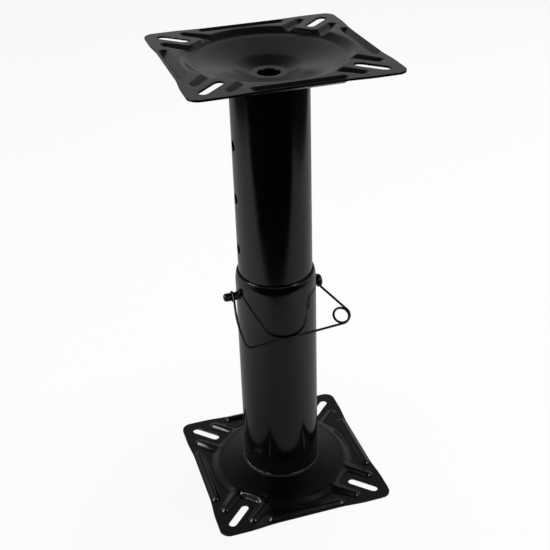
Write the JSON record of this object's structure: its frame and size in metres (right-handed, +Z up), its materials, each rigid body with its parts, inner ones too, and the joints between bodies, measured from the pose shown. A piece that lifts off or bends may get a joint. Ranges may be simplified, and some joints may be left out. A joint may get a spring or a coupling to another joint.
{
  "type": "boat seat pedestal",
  "caption": "Telescoping steel pedestal for a boat seat: stamped square plates at top and foot, held at its height by a cross pin with a wire bail.",
  "frame": {"origin": "centre of the base plate's underside, on the tubes' axis", "axes": "+Z up along the tubes, +X along the locking pin from its tip to its head, +Y away from the bail"},
  "size_m": [0.1778, 0.1778, 0.4445],
  "materials": {
    "base_paint": "gloss",
    "top_paint": "gloss",
    "tube_paint": "gloss",
    "weld_paint": "gloss",
    "pin_finish": "satin",
    "wire_finish": "satin"
  },
  "bodies": {
    "foot": {"base_plate": "base_paint", "base_weld": "weld_paint", "lower_tube": "tube_paint"},
    "seat_post": {"upper_tube": "tube_paint", "top_weld": "weld_paint", "top_plate": "top_paint"},
    "pin_and_bail": {"locking_pin": "pin_finish", "bail_wire": "wire_finish"}
  },
  "joints": [
    {"name": "height_slide", "type": "slide", "parent": "foot", "child": "seat_post", "axis": [0, 0, 1], "range_m": [0, 0.0015]},
    {"name": "bail_swing", "type": "hinge", "parent": "foot", "child": "pin_and_bail", "pos_m": [0, 0, 0.21396], "axis": [-1, 0, 0], "range_deg": [0, 78]}
  ]
}
